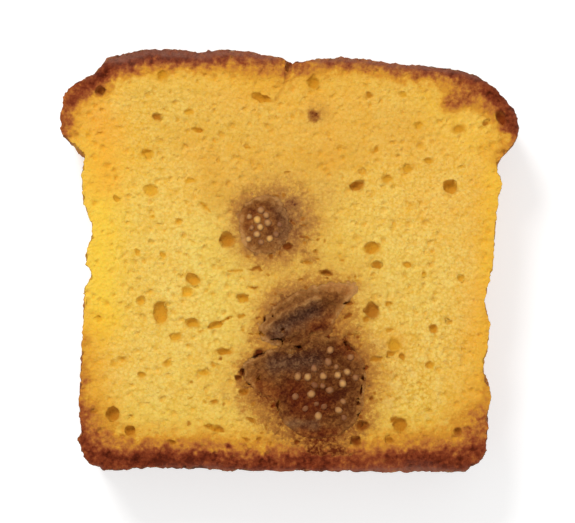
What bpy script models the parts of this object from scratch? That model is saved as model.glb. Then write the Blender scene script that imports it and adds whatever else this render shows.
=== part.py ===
"""A slice of fig pound cake, lying on one cut face with the other cut face up.

Metres, +Z up. +Y points to the loaf's crown and +X to the right of the upper cut face.
The origin is the middle of the slice's box, on the surface that the slice lies on.

The slice is one solid with three pieces of fig running through it. Sizes below are in
millimetres. A place on the cut face is (across, up): across from the loaf's middle plane,
and up from its base crust.
"""

import math
import random

import bmesh
import bpy
from mathutils import Matrix, Vector, noise

MM = 0.001
SLICE_THICKNESS = 18.0
OUTLINE_STEP = 1.35  # between neighbouring points of the slice's outline
LEVELS = 8  # sections of the slice from its underside to its upper face

FIG_STEP = 1.5  # between neighbouring points of a fig's outline
FIG_GAP = 0.3  # clear space between a fig and the crumb around it
FIG_SINK = 0.45  # the soft flesh sits this far below the cut
SEED_RISE = 0.1  # how far the tallest seeds stay below the cut

# The base crust, as (across, up), from its left end to its right one.
BASE = [
    (-37.2, 0.0), (-33.4, 0.2), (-29.2, 0.6), (-23.0, 0.5), (-17.4, 0.4), (-12.6, 0.1),
    (-4.0, 0.0), (4.0, 0.0), (14.0, -0.1), (24.0, -0.2), (35.3, -0.2),
]
# The tin-side walls, as (up, distance from the middle plane), from the base to the overhang.
LEFT_WALL = [
    (0.8, 38.0), (1.2, 39.9), (2.7, 41.2), (4.8, 41.9), (6.5, 42.8), (7.7, 41.8), (9.7, 42.1),
    (15.3, 42.3), (18.1, 41.9), (20.9, 42.0), (28.5, 41.6), (34.5, 41.3), (36.7, 41.1),
    (38.3, 40.1), (39.9, 39.9), (41.7, 40.9), (44.5, 40.9), (46.5, 40.0), (49.7, 39.8),
    (52.6, 41.1), (55.3, 41.6), (60.9, 41.6), (62.9, 41.1), (64.6, 42.1), (66.0, 43.6),
    (67.0, 45.5), (68.9, 45.8), (72.9, 45.8), (75.5, 45.2), (76.7, 44.4), (78.3, 41.8),
]
RIGHT_WALL = [
    (0.5, 35.7), (0.8, 36.3), (1.5, 37.7), (2.9, 38.8), (4.9, 39.4), (11.3, 39.8),
    (16.1, 40.3), (20.5, 38.9), (28.1, 40.2), (33.7, 39.2), (38.5, 40.1), (42.1, 40.9),
    (48.5, 41.2), (54.5, 42.0), (57.9, 42.6), (60.1, 41.7), (62.1, 42.2), (65.0, 44.7),
    (67.3, 45.8), (70.5, 45.7), (73.4, 44.3), (76.1, 41.8),
]
# The crown, as (across, up), from the left overhang to the right one, with the crack between.
CROWN = [
    (-39.2, 79.8), (-37.8, 81.5), (-36.1, 83.0), (-33.2, 83.7), (-30.0, 84.5), (-26.8, 84.7),
    (-22.0, 84.4), (-17.2, 84.1), (-13.2, 84.5), (-7.2, 84.1), (-5.6, 83.5), (-1.6, 83.2),
    (-0.5, 82.5), (0.4, 82.1), (2.0, 82.3), (8.0, 82.9), (15.2, 82.7), (22.0, 81.8),
    (29.2, 81.1), (34.4, 80.3), (38.4, 78.8),
]

# The crust wanders towards the underside by WANDER, and is pitted all over by GRAIN.
WANDER, WANDER_LENGTH = 0.9, 11.0
GRAIN, GRAIN_LENGTH = 0.22, 2.4
# A lip of the overhang that hangs lower behind the upper face: across, up, radius, drop.
LOW_LIP = (-42.8, 64.8, 2.8, 2.2)

# Air holes that the knife opened: across, up, width, height, turn in degrees, depth.
PORES = [
    (-37.8, 76.2, 1.9, 1.4, 20, 1.6), (-26.6, 71.0, 1.9, 1.1, -20, 0.9),
    (-18.4, 68.4, 2.5, 1.1, 0, 0.8), (-5.6, 74.8, 4.2, 1.5, -12, 1.0),
    (-28.6, 63.6, 2.5, 1.9, -10, 0.8), (-27.8, 56.4, 2.8, 2.5, 0, 0.6),
    (-20.0, 58.4, 2.1, 1.2, 5, 0.5), (-12.6, 46.4, 2.9, 2.8, 40, 1.3),
    (4.6, 78.0, 2.5, 2.6, 0, 0.7), (13.4, 57.2, 3.0, 1.9, 8, 1.4),
    (32.0, 57.0, 3.0, 2.6, -15, 1.6), (19.4, 58.7, 2.3, 1.8, 0, 0.5),
    (16.4, 44.8, 3.2, 2.4, 0, 1.0), (17.4, 41.4, 1.9, 1.5, 0, 0.9),
    (7.0, 39.8, 2.9, 1.0, -8, 0.9), (16.4, 32.2, 3.1, 3.5, 15, 1.2),
    (-19.4, 38.4, 3.2, 2.3, -15, 1.2), (-20.6, 35.9, 2.5, 2.0, 20, 0.7),
    (-25.9, 31.8, 2.9, 4.8, 4, 1.3), (-29.9, 34.2, 1.4, 1.9, -10, 0.8),
    (-19.6, 29.8, 3.0, 1.7, -6, 0.9), (-15.0, 29.2, 3.2, 1.3, 14, 0.8),
    (-22.8, 27.0, 2.5, 1.7, 0, 0.6), (-9.4, 34.8, 2.7, 1.5, -15, 0.8),
    (-13.2, 24.0, 3.8, 1.5, 0, 0.8), (-35.5, 11.6, 2.7, 2.9, -15, 1.5),
    (-32.0, 8.2, 2.1, 1.8, -20, 1.2), (22.0, 9.4, 3.1, 2.9, -20, 1.1),
    (20.8, 25.4, 2.7, 2.8, 0, 0.5), (28.6, 28.6, 1.7, 1.9, 30, 1.0),
    (-17.2, 19.8, 2.5, 1.3, -8, 0.8), (-14.8, 8.6, 3.3, 1.2, -14, 0.7),
    (42.2, 70.8, 1.7, 2.9, 22, 1.3), (33.6, 8.1, 1.4, 1.7, -15, 1.0),
]
UNDERSIDE_PORES = 12
UNDERSIDE_SEED = 7

# The crack from the crown into the upper face: across, up, half-width, depth.
FACE_CRACK = [
    (0.2, 84.0, 0.7, 3.0), (-0.1, 81.2, 0.45, 1.8), (-0.6, 78.8, 0.28, 0.7),
    (-1.5, 76.4, 0.22, 0.5), (-2.8, 74.4, 0.18, 0.4),
]
# It runs on along the crown, over the slice's thickness: across, height, half-width, depth.
CROWN_CRACK = [
    (0.1, 19.5, 0.6, 1.8), (0.3, 17.0, 0.7, 2.0), (1.5, 14.0, 1.0, 2.4), (2.2, 11.0, 1.2, 2.8),
    (1.2, 8.0, 1.0, 2.6), (-0.6, 5.0, 1.2, 2.9), (-1.4, 2.0, 1.0, 2.6), (-1.2, -1.5, 1.0, 2.6),
]
CROWN_CRACK_MOUTH = 83.4  # up, at the middle of the crack's open side

# Each fig: its outline as (across, up), how its section at the underside differs (scale,
# turn in degrees, shift), its middle, the hollow of its faces, and its seeds, as
# (across, up, radius). Two pieces that touch share one middle, so that they turn as one.
LOWER_MIDDLE = (4.4, 18.0)
FIGS = {
    "fig_small": {
        "outline": [
            (-9.7, 49.8), (-9.0, 52.4), (-6.8, 54.4), (-4.2, 54.6), (-1.9, 53.2), (-0.7, 50.6),
            (-0.8, 47.6), (-2.6, 45.0), (-5.2, 44.1), (-7.8, 44.6), (-9.3, 46.8),
        ],
        "underside": (0.8, -20.0, (1.0, -1.2)),
        "middle": (-5.1, 49.4),
        "hollow": 0.2,
        "seeds": [
            (-6.5, 50.4, 0.72), (-5.8, 52.3, 0.62), (-8.1, 51.0, 0.5), (-4.7, 51.3, 0.55),
            (-4.4, 49.8, 0.62), (-5.9, 48.9, 0.62), (-6.6, 47.5, 0.6), (-7.6, 48.8, 0.42),
            (-8.3, 46.5, 0.6), (-4.0, 46.6, 0.62), (-5.7, 45.9, 0.48), (-2.7, 47.4, 0.5),
            (-2.0, 49.4, 0.45),
        ],
    },
    "fig_large": {
        "outline": [
            (-9.2, 20.1), (-8.0, 22.1), (-5.0, 23.5), (-2.0, 24.3), (2.0, 25.3), (6.0, 26.3),
            (11.0, 25.5), (13.6, 22.9), (14.8, 19.5), (14.4, 15.5), (13.6, 11.5), (11.0, 8.5),
            (6.0, 6.9), (1.0, 8.5), (-1.6, 11.5), (-2.4, 14.5), (-5.0, 15.9), (-7.6, 17.5),
        ],
        "underside": (0.86, 8.0, (-1.5, 1.4)),
        "middle": LOWER_MIDDLE,
        "hollow": 0.3,
        "seeds": [
            (8.1, 24.3, 0.6), (12.2, 22.9, 0.55), (7.7, 21.9, 0.64), (9.3, 20.9, 0.45),
            (4.9, 20.6, 0.58), (1.6, 19.0, 0.64), (3.6, 18.9, 0.64), (6.7, 19.1, 0.62),
            (9.6, 19.3, 0.6), (11.5, 19.9, 0.6), (13.2, 18.8, 0.55), (10.6, 17.6, 0.66),
            (5.0, 17.3, 0.5), (6.6, 17.1, 0.42), (8.0, 16.3, 0.6), (4.3, 15.5, 0.68),
            (1.1, 15.0, 0.55), (10.7, 14.0, 0.5), (5.3, 13.5, 0.42), (9.8, 12.3, 0.64),
            (10.9, 10.8, 0.5), (5.7, 11.1, 0.7), (3.1, 12.6, 0.5), (6.9, 13.0, 0.48),
        ],
    },
    "fig_fold": {
        "outline": [
            (-5.4, 27.1), (-4.8, 30.1), (-2.4, 32.9), (0.6, 34.8), (4.4, 36.3), (8.2, 37.1),
            (12.0, 37.3), (13.3, 36.5), (11.6, 34.7), (9.8, 32.3), (8.4, 29.9), (8.0, 27.8),
            (6.0, 26.85), (4.0, 26.35), (2.0, 25.8), (-0.6, 25.15), (-2.8, 25.9),
        ],
        "underside": (0.86, 8.0, (-1.5, 1.4)),
        "middle": LOWER_MIDDLE,
        "face_middle": (3.2, 30.6),
        "hollow": 0.9,
        "seeds": [],
    },
}
FACE_RINGS = [1.0, 0.8, 0.58, 0.34]  # a fig's face is rings at these scales
UNDERSIDE_SEED_SCALE = 0.85
UNDERSIDE_SEED_EVERY = 2  # one seed on the underside for so many on the upper face
FIG_RUMPLE, FIG_RUMPLE_LENGTH = 0.2, 3.2

CRUMB_COLOUR = (0.79, 0.48, 0.08, 1.0)
FIG_COLOURS = {
    "fig_small": (0.13, 0.05, 0.03, 1.0),
    "fig_large": (0.10, 0.035, 0.018, 1.0),
    "fig_fold": (0.12, 0.05, 0.025, 1.0),
}


def catmull_rom(before, start, end, after, share):
    """A point on the smooth curve from start to end."""
    return 0.5 * (
        2 * start
        + (end - before) * share
        + (2 * before - 5 * start + 4 * end - after) * share**2
        + (3 * start - before - 3 * end + after) * share**3
    )


def smooth_loop(corners, step):
    """Points about a step apart on a closed smooth curve through the corners."""
    corners = [Vector(corner) for corner in corners]
    points = []
    for i, start in enumerate(corners):
        end = corners[(i + 1) % len(corners)]
        before, after = corners[i - 1], corners[(i + 2) % len(corners)]
        pieces = max(1, round((end - start).length / step))
        points += [
            catmull_rom(before, start, end, after, k / pieces) for k in range(pieces)
        ]
    return points


def slice_outline():
    """The loaf's section, counterclockwise as seen from above, from the base's left end."""
    right = [(across, up) for up, across in RIGHT_WALL]
    left = [(-across, up) for up, across in reversed(LEFT_WALL)]
    corners = [*BASE, *right, *reversed(CROWN), *left]
    return smooth_loop(corners, OUTLINE_STEP)


def outward(points):
    """The outward direction at each point of a counterclockwise loop."""
    found = []
    for i, point in enumerate(points):
        along = points[(i + 1) % len(points)] - points[i - 1]
        found.append(Vector((along.y, -along.x)).normalized())
    return found


def crust_push(place, direction, height):
    """How far the crust stands off the loaf's even section there, as a flat vector."""
    spot = Vector((place.x, place.y, height))
    depth = 1 - height / SLICE_THICKNESS
    wander = WANDER * min(1.0, 1.6 * depth) * noise.noise(spot / WANDER_LENGTH)
    grain = GRAIN * noise.noise(spot / GRAIN_LENGTH + Vector((31.0, 7.0, 3.0)))
    across, up, radius, drop = LOW_LIP
    near = max(0.0, 1 - (place - Vector((across, up))).length / radius)
    lip = Vector((0.0, -drop)) * near * min(1.0, 3 * depth)
    return direction * (wander + grain) + lip


def slice_ring(level):
    """The slice's outline at a level, from 0 at its underside to 1 at its upper face."""
    points = slice_outline()
    height = level * SLICE_THICKNESS
    pushed = [
        point + crust_push(point, direction, height)
        for point, direction in zip(points, outward(points))
    ]
    return [Vector((point.x, point.y, height)) for point in pushed]


def loft(name, rings):
    """A closed mesh object through rings with equal counts of points, lowest ring first."""
    shape = bmesh.new()
    rows = [[shape.verts.new(point * MM) for point in ring] for ring in rings]
    for lower, upper in zip(rows, rows[1:]):
        for i in range(len(lower)):
            j = (i + 1) % len(lower)
            shape.faces.new((lower[i], lower[j], upper[j], upper[i]))
    shape.faces.new(rows[-1])
    shape.faces.new(list(reversed(rows[0])))
    mesh = bpy.data.meshes.new(name)
    shape.to_mesh(mesh)
    shape.free()
    return bpy.data.objects.new(name, mesh)


def new_collection(name, hidden=False):
    collection = bpy.data.collections.new(name)
    collection.hide_render = hidden
    bpy.context.scene.collection.children.link(collection)
    return collection


def paint(thing, name, colour, roughness):
    material = bpy.data.materials.new(name)
    material.use_nodes = True
    shader = material.node_tree.nodes["Principled BSDF"]
    shader.inputs["Base Color"].default_value = colour
    shader.inputs["Roughness"].default_value = roughness
    thing.data.materials.clear()
    thing.data.materials.append(material)


def combine(thing, collection, operation):
    """Joins the collection's objects to a solid, or cuts them from it, and removes them."""
    modifier = thing.modifiers.new(operation.lower(), "BOOLEAN")
    modifier.operation = operation
    modifier.operand_type = "COLLECTION"
    modifier.collection = collection
    modifier.solver = "EXACT"
    bpy.context.view_layer.update()
    graph = bpy.context.evaluated_depsgraph_get()
    made = bpy.data.meshes.new_from_object(thing.evaluated_get(graph))
    thing.modifiers.clear()
    thing.data = made
    for used in list(collection.objects):
        bpy.data.objects.remove(used)
    bpy.data.collections.remove(collection)


def rough_ball(name, centre, radii, turn, fineness):
    """An uneven ball with its own radii, turned about the vertical."""
    shape = bmesh.new()
    bmesh.ops.create_icosphere(shape, subdivisions=fineness, radius=1.0)
    for vert in shape.verts:
        vert.co *= 1 + 0.28 * noise.noise(1.3 * vert.co + 0.6 * centre)
    turned = Matrix.Rotation(math.radians(turn), 4, "Z")
    placed = Matrix.Translation(centre) @ turned @ Matrix.Diagonal((*radii, 1.0))
    shape.transform(Matrix.Scale(MM, 4) @ placed)
    mesh = bpy.data.meshes.new(name)
    shape.to_mesh(mesh)
    shape.free()
    return bpy.data.objects.new(name, mesh)


def add_upper_pores(cutters):
    """Balls whose lower halves hollow the upper face."""
    lift = 0.25  # of the depth, so that a pore's mouth is a little under its widest
    for i, (across, up, width, height, turn, depth) in enumerate(PORES):
        centre = Vector((across, up, SLICE_THICKNESS + lift * depth))
        radii = (width / 2, height / 2, depth * (1 + lift))
        cutters.objects.link(rough_ball(f"pore_{i}", centre, radii, turn, 2))


def add_underside_pores(cutters):
    """A few like them in the face that the slice lies on, scattered clear of the figs."""
    draw = random.Random(UNDERSIDE_SEED)
    placed = 0
    while placed < UNDERSIDE_PORES:
        across, up = draw.uniform(-36, 36), draw.uniform(6, 76)
        radius = draw.uniform(0.9, 1.6)
        if -15 < across < 19 and 2 < up < 59:
            continue
        centre = Vector((across, up, 0.0))
        radii = (radius, radius * draw.uniform(0.6, 0.9), 0.6 * radius)
        turn = draw.uniform(0, 180)
        cutters.objects.link(rough_ball(f"under_pore_{placed}", centre, radii, turn, 1))
        placed += 1


def crack_cutter(name, middles, half_widths, depths, inward):
    """A cutter with a pointed oval section, along the middles and deep along inward."""
    sides = 8
    rings = []
    for i, middle in enumerate(middles):
        along = (middles[min(i + 1, len(middles) - 1)] - middles[max(i - 1, 0)]).normalized()
        side = inward.cross(along).normalized() * half_widths[i]
        ring = []
        for k in range(sides):
            angle = 2 * math.pi * k / sides
            ring.append(middle + side * math.cos(angle) + inward * depths[i] * math.sin(angle))
        rings.append(ring)
    return loft(name, rings)


def add_cracks(cutters):
    """The crack down the upper face, and the same crack along the crown."""
    across, up, half_widths, depths = zip(*FACE_CRACK)
    middles = [Vector((x, y, SLICE_THICKNESS)) for x, y in zip(across, up)]
    down = Vector((0.0, 0.0, -1.0))
    cutters.objects.link(crack_cutter("face_crack", middles, half_widths, depths, down))
    across, heights, half_widths, depths = zip(*CROWN_CRACK)
    middles = [Vector((x, CROWN_CRACK_MOUTH, z)) for x, z in zip(across, heights)]
    to_base = Vector((0.0, -1.0, 0.0))
    cutters.objects.link(crack_cutter("crown_crack", middles, half_widths, depths, to_base))


def at_height(fig, point, height):
    """Where a point of the fig's upper face lies in its section at a height."""
    scale, turn, shift = fig["underside"]
    depth = 1 - min(max(height / SLICE_THICKNESS, 0.0), 1.0)
    middle = Vector(fig["middle"])
    turned = Matrix.Rotation(math.radians(turn) * depth, 2) @ (Vector(point) - middle)
    return middle + turned * (1 + (scale - 1) * depth) + Vector(shift) * depth


def fig_ring(fig, height, grow=0.0):
    """A fig's outline at a height, grown outwards by a margin."""
    points = smooth_loop(list(reversed(fig["outline"])), FIG_STEP)
    moved = [at_height(fig, point, height) for point in points]
    grown = [point + direction * grow for point, direction in zip(moved, outward(moved))]
    return [Vector((point.x, point.y, height)) for point in grown]


def fig_face(fig, height, inward):
    """Rings from the fig's rim at a height to the middle of its face, hollowed and rumpled."""
    centre = at_height(fig, fig.get("face_middle", fig["middle"]), height)
    middle = Vector((centre.x, centre.y, height))
    rings = []
    for scale in FACE_RINGS:
        hollow = fig["hollow"] * min(1.0, 2.4 * (1 - scale))
        ring = []
        for point in fig_ring(fig, height):
            spot = point.lerp(middle, 1 - scale)
            rumple = FIG_RUMPLE * noise.noise(spot / FIG_RUMPLE_LENGTH) * (scale < 1)
            spot.z += inward * (hollow - rumple)
            ring.append(spot)
        rings.append(ring)
    return rings


def seed_spots(fig):
    """Each seed's centre and radius: on the upper face, and others on the underside."""
    middle = sum((Vector(seed[:2]) for seed in fig["seeds"]), Vector((0.0, 0.0)))
    middle /= len(fig["seeds"])
    spots = []
    for i, (across, up, radius) in enumerate(fig["seeds"]):
        spots.append((Vector((across, up, SLICE_THICKNESS - SEED_RISE - radius)), radius))
        if i % UNDERSIDE_SEED_EVERY:
            continue
        opposite = middle + (middle - Vector((across, up))) * UNDERSIDE_SEED_SCALE
        below = at_height(fig, opposite, 0.0)
        small = radius * UNDERSIDE_SEED_SCALE
        spots.append((Vector((below.x, below.y, SEED_RISE + small)), small))
    return spots


def add_seeds(flesh, fig, name):
    """Fuses the fig's seeds to its faces, their tips a little inside the cuts."""
    seeds = new_collection(f"{name}_seeds")
    for centre, radius in seed_spots(fig):
        shape = bmesh.new()
        bmesh.ops.create_uvsphere(shape, u_segments=7, v_segments=4, radius=radius * MM)
        bmesh.ops.translate(shape, verts=shape.verts, vec=centre * MM)
        mesh = bpy.data.meshes.new(f"{name}_seed")
        shape.to_mesh(mesh)
        shape.free()
        seeds.objects.link(bpy.data.objects.new(mesh.name, mesh))
    combine(flesh, seeds, "UNION")


def make_fig(name, fig, parts):
    """A piece of fig that runs through the slice, a little short of both cuts."""
    lower = fig_face(fig, FIG_SINK, 1)
    upper = fig_face(fig, SLICE_THICKNESS - FIG_SINK, -1)
    waist = fig_ring(fig, SLICE_THICKNESS / 2)
    flesh = loft(name, [*reversed(lower), waist, *upper])
    parts.objects.link(flesh)
    if fig["seeds"]:
        add_seeds(flesh, fig, name)
    paint(flesh, f"{name}_flesh", FIG_COLOURS[name], 0.45)


def add_fig_holes(cutters):
    """The room that each fig takes up in the crumb, from below the slice to above it."""
    past = 1.0
    heights = [-past, 0.0, SLICE_THICKNESS / 2, SLICE_THICKNESS, SLICE_THICKNESS + past]
    for name, fig in FIGS.items():
        rings = [fig_ring(fig, height, FIG_GAP) for height in heights]
        cutters.objects.link(loft(f"{name}_hole", rings))


def make_slice(parts):
    """The crumb and its crust: one solid, cut by its pores, its crack and the figs."""
    rings = [slice_ring(i / (LEVELS - 1)) for i in range(LEVELS)]
    slice_body = loft("cake_slice", rings)
    parts.objects.link(slice_body)
    cutters = new_collection("cutters", hidden=True)
    add_upper_pores(cutters)
    add_underside_pores(cutters)
    add_cracks(cutters)
    add_fig_holes(cutters)
    combine(slice_body, cutters, "DIFFERENCE")
    paint(slice_body, "cake_crumb", CRUMB_COLOUR, 0.8)
    return slice_body


def centre_on_origin(slice_body, parts):
    """Moves every part alike, so that the slice's box is centred over the origin."""
    corners = [vert.co for vert in slice_body.data.vertices]
    low = Vector(map(min, *corners))
    high = Vector(map(max, *corners))
    middle = (low + high) / 2
    shift = Matrix.Translation((-middle.x, -middle.y, -low.z))
    for part in parts.objects:
        part.data.transform(shift)
        part.data.shade_smooth()
        part.data.set_sharp_from_angle(angle=math.radians(35))


def main():
    for thing in list(bpy.data.objects):
        bpy.data.objects.remove(thing)
    parts = new_collection("fig_pound_cake_slice")
    slice_body = make_slice(parts)
    for name, fig in FIGS.items():
        make_fig(name, fig, parts)
    centre_on_origin(slice_body, parts)


main()
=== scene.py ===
import math
import random

import bmesh
import bpy
import numpy as np
from mathutils import Matrix, Vector, noise
from mathutils.bvhtree import BVHTree
from mathutils.kdtree import KDTree


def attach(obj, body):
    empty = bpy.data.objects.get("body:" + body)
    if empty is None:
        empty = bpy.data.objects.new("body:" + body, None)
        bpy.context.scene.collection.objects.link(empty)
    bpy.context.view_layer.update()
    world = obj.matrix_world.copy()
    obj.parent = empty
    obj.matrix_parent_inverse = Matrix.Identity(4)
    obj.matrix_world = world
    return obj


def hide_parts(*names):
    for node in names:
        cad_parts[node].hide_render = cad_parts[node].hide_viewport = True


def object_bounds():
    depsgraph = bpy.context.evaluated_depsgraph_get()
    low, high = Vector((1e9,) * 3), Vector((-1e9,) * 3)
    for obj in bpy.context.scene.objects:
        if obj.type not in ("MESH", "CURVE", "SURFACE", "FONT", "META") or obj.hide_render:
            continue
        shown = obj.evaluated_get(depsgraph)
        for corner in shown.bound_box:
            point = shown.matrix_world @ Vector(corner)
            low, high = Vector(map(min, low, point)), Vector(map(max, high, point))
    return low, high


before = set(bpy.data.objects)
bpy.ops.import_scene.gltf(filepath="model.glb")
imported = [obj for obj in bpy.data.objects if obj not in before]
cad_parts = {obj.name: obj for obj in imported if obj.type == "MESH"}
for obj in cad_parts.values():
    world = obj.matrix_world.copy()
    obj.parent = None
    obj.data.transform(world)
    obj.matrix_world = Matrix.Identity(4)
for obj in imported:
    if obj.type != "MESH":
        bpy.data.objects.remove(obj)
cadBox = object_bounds()
mm = 0.001
thick = cadBox[1].z / mm  # the slice lies on one cut face, and the other is at this height
scene = bpy.context.scene

# Places are (x, y) in millimetres from the middle of the slice. A stroke is its reach, its
# strength and a path of such places, and it fades softly with the distance from the path.
# Colours are red, green and blue from 0 to 255, as they look on a screen.


class Wire:  # a socket whose sums become Math nodes
    def __init__(self, shade, socket):
        self.shade, self.socket = shade, socket

    def math(self, operation, first, second):
        return self.shade.node("ShaderNodeMath", {"operation": operation}, {0: first, 1: second})

    def __add__(self, other):
        return self.math("ADD", self, other)

    def __radd__(self, other):
        return self.math("ADD", other, self)

    def __sub__(self, other):
        return self.math("SUBTRACT", self, other)

    def __rsub__(self, other):
        return self.math("SUBTRACT", other, self)

    def __mul__(self, other):
        return self.math("MULTIPLY", self, other)

    def __rmul__(self, other):
        return self.math("MULTIPLY", other, self)


class Shade:  # the nodes of one material
    def __init__(self, name, roughness, subsurface, specular):
        self.material = bpy.data.materials.new(name)
        self.material.use_nodes = True
        self.tree = self.material.node_tree
        self.surface = self.tree.nodes["Principled BSDF"]
        self.feed(self.surface, {
            "Roughness": roughness, "Subsurface Weight": subsurface,
            "Subsurface Radius": (1.0, 0.5, 0.2), "Subsurface Scale": 0.8 * mm,
            "Specular IOR Level": specular,
        })
        self.place = self.node("ShaderNodeTexCoord", output="Object")

    def node(self, kind, settings=None, sockets=None, output=0):
        made = self.tree.nodes.new(kind)
        for name, value in (settings or {}).items():
            if name == "stops":
                steps = made.color_ramp.elements
                while len(steps) < len(value):
                    steps.new(0.5)
                for step, (position, *colour) in zip(steps, value):
                    step.position, step.color = position, tint(*colour)
            else:
                setattr(made, name, value)
        self.feed(made, sockets or {})
        return Wire(self, made.outputs[output])

    def feed(self, made, sockets):
        for name, value in sockets.items():
            if isinstance(value, Wire):
                self.tree.links.new(value.socket, made.inputs[name])
            else:
                made.inputs[name].default_value = value

    def noise(self, size, detail=2.0, rough=0.5, low=0.0, high=1.0):  # size in mm
        raw = self.node("ShaderNodeTexNoise", {}, {
            "Vector": self.place, "Scale": 1 / (size * mm), "Detail": detail, "Roughness": rough,
        })
        return self.span(raw, 0.25, 0.75, low, high)  # between these lies most of the noise

    def cells(self, size):  # 0 at the middle of a cell, 1 between cells
        raw = self.node("ShaderNodeTexVoronoi", {}, {"Vector": self.place, "Scale": 1 / (size * mm)})
        return self.span(raw, 0.0, 0.8)

    def span(self, value, start, end, low=0.0, high=1.0):
        return self.node("ShaderNodeMapRange", {"clamp": True}, {
            "Value": value, "From Min": start, "From Max": end, "To Min": low, "To Max": high,
        })

    def field(self, name):  # a value that the mesh carries at its points
        return self.node("ShaderNodeAttribute", {"attribute_name": name}, output="Fac")

    def ramp(self, value, stops):  # each stop is its position and its colour
        return self.node("ShaderNodeValToRGB", {"stops": stops}, {"Fac": value})

    def mix(self, share, first, second):  # sockets 0, 6, 7 and output 2 are those for colours
        return self.node(
            "ShaderNodeMix", {"data_type": "RGBA"}, {0: share, 6: first, 7: second}, output=2
        )

    def bump(self, height, strength, distance):
        return self.node("ShaderNodeBump", {}, {
            "Height": height, "Strength": strength, "Distance": distance * mm,
        })


def tint(red, green, blue):
    return (*(((v / 255 + 0.055) / 1.055) ** 2.4 for v in (red, green, blue)), 1.0)


# Camera, lights and floor

studio = {
    "lookAt": (-0.5, -0.1), "distance": 550, "frameWidth": 115, "sensor": 36,
    "key": {"from": (-240, 460, 520), "size": 300, "power": 3.5},
    "fill": {"from": (240, -420, 560), "size": 600, "power": 1.2},
    "world": 0.46, "floor": (0.7, 0.7, 0.696, 1.0), "floorGlow": 0.5, "floorGap": 0.05,
}


def softLight(name, settings):
    lamp = bpy.data.lights.new(name, "AREA")
    lamp.shape, lamp.size, lamp.energy = "DISK", settings["size"] * mm, settings["power"]
    holder = bpy.data.objects.new(name, lamp)
    holder.location = Vector(settings["from"]) * mm
    holder.rotation_euler = (-holder.location).to_track_quat("-Z", "Y").to_euler()
    scene.collection.objects.link(holder)


def makeStudio():
    lens = bpy.data.cameras.new("camera")
    lens.sensor_width = studio["sensor"]
    lens.lens = studio["sensor"] * studio["distance"] / studio["frameWidth"]
    camera = bpy.data.objects.new("camera", lens)
    x, y = studio["lookAt"]
    camera.location = Vector((x, y, thick + studio["distance"])) * mm
    scene.collection.objects.link(camera)
    scene.camera = camera
    softLight("key", studio["key"])
    softLight("fill", studio["fill"])
    world = bpy.data.worlds.new("room")
    world.use_nodes = True
    world.node_tree.nodes["Background"].inputs["Color"].default_value = (1, 1, 1, 1)
    world.node_tree.nodes["Background"].inputs["Strength"].default_value = studio["world"]
    scene.world = world
    scene.view_settings.view_transform = "Standard"
    work = bmesh.new()
    bmesh.ops.create_grid(work, x_segments=1, y_segments=1, size=2.0)
    floor = newPiece("floor", work)
    floor.location.z = -studio["floorGap"] * mm
    paint = Shade("floor_paint", 0.9, 0.0, 0.2)
    paint.feed(paint.surface, {
        "Base Color": studio["floor"], "Emission Color": (1, 1, 1, 1),
        "Emission Strength": studio["floorGlow"],
    })
    floor.data.materials.append(paint.material)
    print("studio: camera, two lights and a floor")


# Mesh helpers

def newPiece(name, work):
    mesh = bpy.data.meshes.new(name)
    work.to_mesh(mesh)
    work.free()
    piece = bpy.data.objects.new(name, mesh)
    scene.collection.objects.link(piece)
    return piece


def solidOf(node):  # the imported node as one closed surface
    work = bmesh.new()
    work.from_mesh(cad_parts[node].data)
    bmesh.ops.remove_doubles(work, verts=work.verts, dist=1e-6)
    bmesh.ops.recalc_face_normals(work, faces=work.faces)
    return work


def apply(piece, kind, **settings):
    modifier = piece.modifiers.new(kind.lower(), kind)
    for name, value in settings.items():
        setattr(modifier, name, value)
    graph = bpy.context.evaluated_depsgraph_get()
    mesh = bpy.data.meshes.new_from_object(piece.evaluated_get(graph))
    piece.modifiers.clear()
    piece.data = mesh


def readPoints(piece, name):
    found = np.empty(len(piece.data.vertices) * 3, np.float32)
    piece.data.vertices.foreach_get(name, found)
    return found.reshape(-1, 3).astype(float)


def points(piece):
    return readPoints(piece, "co") / mm


def normals(piece):
    return readPoints(piece, "normal")


def setPoints(piece, places):
    piece.data.vertices.foreach_set("co", (places * mm).astype(np.float32).ravel())
    piece.data.update()


def setField(piece, name, values):
    layer = piece.data.attributes.new(name, "FLOAT", "POINT")
    layer.data.foreach_set("value", np.asarray(values, np.float32))


def smooth(low, high, values):
    share = np.clip((values - low) / (high - low), 0, 1)
    return share * share * (3 - 2 * share)


def waves(places, size, shift=0.0):  # soft noise between about -1 and 1
    return np.array([noise.noise(p) for p in (places / size + shift).tolist()])


def grains(places, size):  # 0 at the middle of a grain, up to about 1 between grains
    return np.array([noise.voronoi(p)[0][0] for p in (places / size).tolist()])


def warp(places, back=1):  # small sideways shifts that make round holes and smooth edges ragged
    moved = places.copy()
    for axis, seed in ((0, 13.0), (1, 57.0)):
        for reach, size in crumb["ragged"]:
            moved[:, axis] += back * reach * waves(places, size, seed + size)
    return moved


def alongPath(places, start, end):  # share of the way from start to end, and the way itself
    way = np.subtract(end, start).astype(float)
    return np.clip((places[:, :2] - np.array(start, float)) @ way / (way @ way), 0, 1), way


def pathDistance(places, path):
    if len(path) == 1:
        return np.hypot(places[:, 0] - path[0][0], places[:, 1] - path[0][1])
    nearest = np.full(len(places), 1e9)
    for start, end in zip(path, path[1:]):
        share, way = alongPath(places, start, end)
        gap = places[:, :2] - np.array(start, float) - share[:, None] * way
        nearest = np.minimum(nearest, np.hypot(gap[:, 0], gap[:, 1]))
    return nearest


def cleftDistance(places, path, reach):  # in half widths of a cleft that narrows towards its ends
    share = alongPath(places, path[0], path[-1])[0]
    return pathDistance(places, path) / (reach * np.sqrt(np.maximum(1 - (2 * share - 1) ** 2, 0.12)))


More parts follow.
